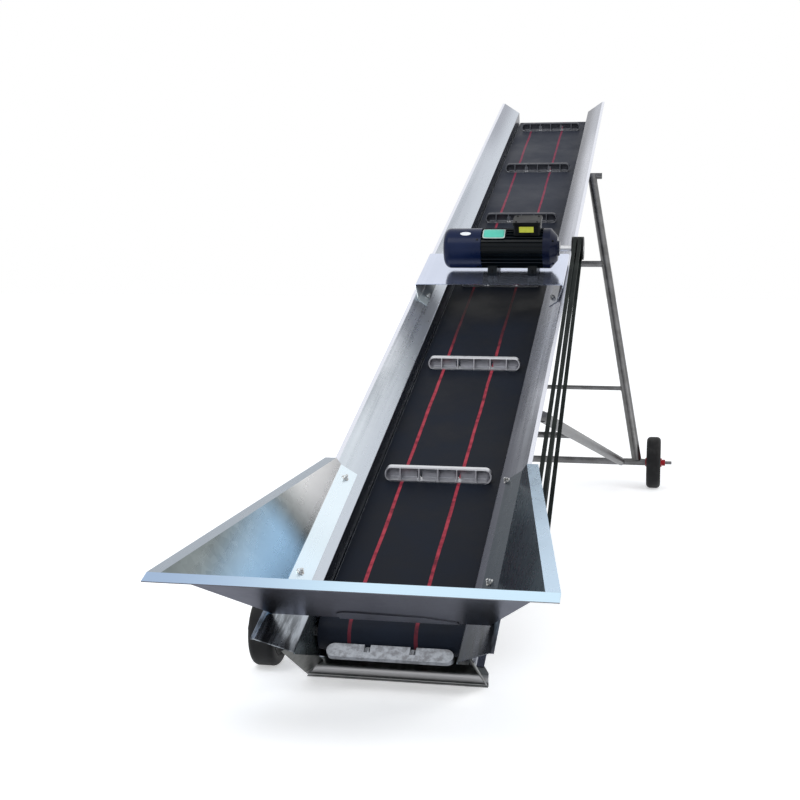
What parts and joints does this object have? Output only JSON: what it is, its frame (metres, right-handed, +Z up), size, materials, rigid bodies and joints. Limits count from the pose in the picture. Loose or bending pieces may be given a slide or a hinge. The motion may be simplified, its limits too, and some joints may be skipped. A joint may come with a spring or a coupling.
{
  "type": "mobile flighted belt conveyor",
  "caption": "Inclined trough conveyor on wheels: rubber belt with cast flights, folded sheet hopper, motor on a bridge, tube stand.",
  "frame": {"origin": "on the floor, on the centre plane, at the middle of the overall length", "axes": "+X to the right seen from the tail (low) end, +Y level towards the head (high) end, +Z up"},
  "size_m": [1.448, 5.3412, 2.0906],
  "materials": {
    "galvanised_sheet": "bright",
    "steel": "turned",
    "tube_steel": "drawn",
    "cast_aluminium": "as cast",
    "cast_housing": "painted",
    "belt_rubber": "matte",
    "tyre_rubber": "matte",
    "motor_paint": "satin",
    "motor_cover_paint": "satin",
    "black_paint": "satin",
    "red_paint": "gloss"
  },
  "bodies": {
    "frame": {"wall_left": "galvanised_sheet", "wall_right": "galvanised_sheet", "slider_deck": "galvanised_sheet", "conveyor_belt": "belt_rubber", "flights": "cast_aluminium", "tail_drum": "steel", "head_drum": "steel", "drive_shaft": "steel", "tail_bearings": "cast_housing", "drive_bearings": "cast_housing", "head_bearings": "cast_housing", "tail_tray": "galvanised_sheet", "tail_gussets": "galvanised_sheet", "cross_ties": "galvanised_sheet", "hopper_wing_left": "galvanised_sheet", "hopper_wing_right": "galvanised_sheet", "hopper_front": "galvanised_sheet", "motor_bridge": "galvanised_sheet", "motor_body": "motor_paint", "motor_fan_cover": "motor_cover_paint", "motor_end_bell": "motor_cover_paint", "junction_box": "black_paint", "motor_pulley": "black_paint", "drive_pulley": "black_paint", "v_belts": "belt_rubber", "top_bar": "tube_steel", "strut_top_bar": "tube_steel", "stand_lugs": "tube_steel", "strut_lugs": "tube_steel", "leg_left": "tube_steel", "leg_right": "tube_steel", "strut_left": "tube_steel", "strut_right": "tube_steel", "cross_bar_upper": "tube_steel", "cross_bar_lower": "tube_steel", "strut_cross_bar": "tube_steel", "axle": "tube_steel", "wheel_nuts": "red_paint", "tail_wheel_bracket": "tube_steel"},
    "main_wheel_left": {"main_left_rim": "red_paint", "main_left_tyre": "tyre_rubber"},
    "main_wheel_right": {"main_right_rim": "red_paint", "main_right_tyre": "tyre_rubber"},
    "tail_wheel": {"tail_left_rim": "black_paint", "tail_left_tyre": "tyre_rubber"}
  },
  "joints": [
    {"name": "main_wheel_left_spin", "type": "hinge", "parent": "frame", "child": "main_wheel_left", "pos_m": [-0.634, 1.42508, 0.13], "axis": [1, 0, 0], "continuous": true},
    {"name": "main_wheel_right_spin", "type": "hinge", "parent": "frame", "child": "main_wheel_right", "pos_m": [0.634, 1.42508, 0.13], "axis": [1, 0, 0], "continuous": true},
    {"name": "tail_wheel_spin", "type": "hinge", "parent": "frame", "child": "tail_wheel", "pos_m": [-0.376, -1.98492, 0.098], "axis": [1, 0, 0], "continuous": true}
  ]
}
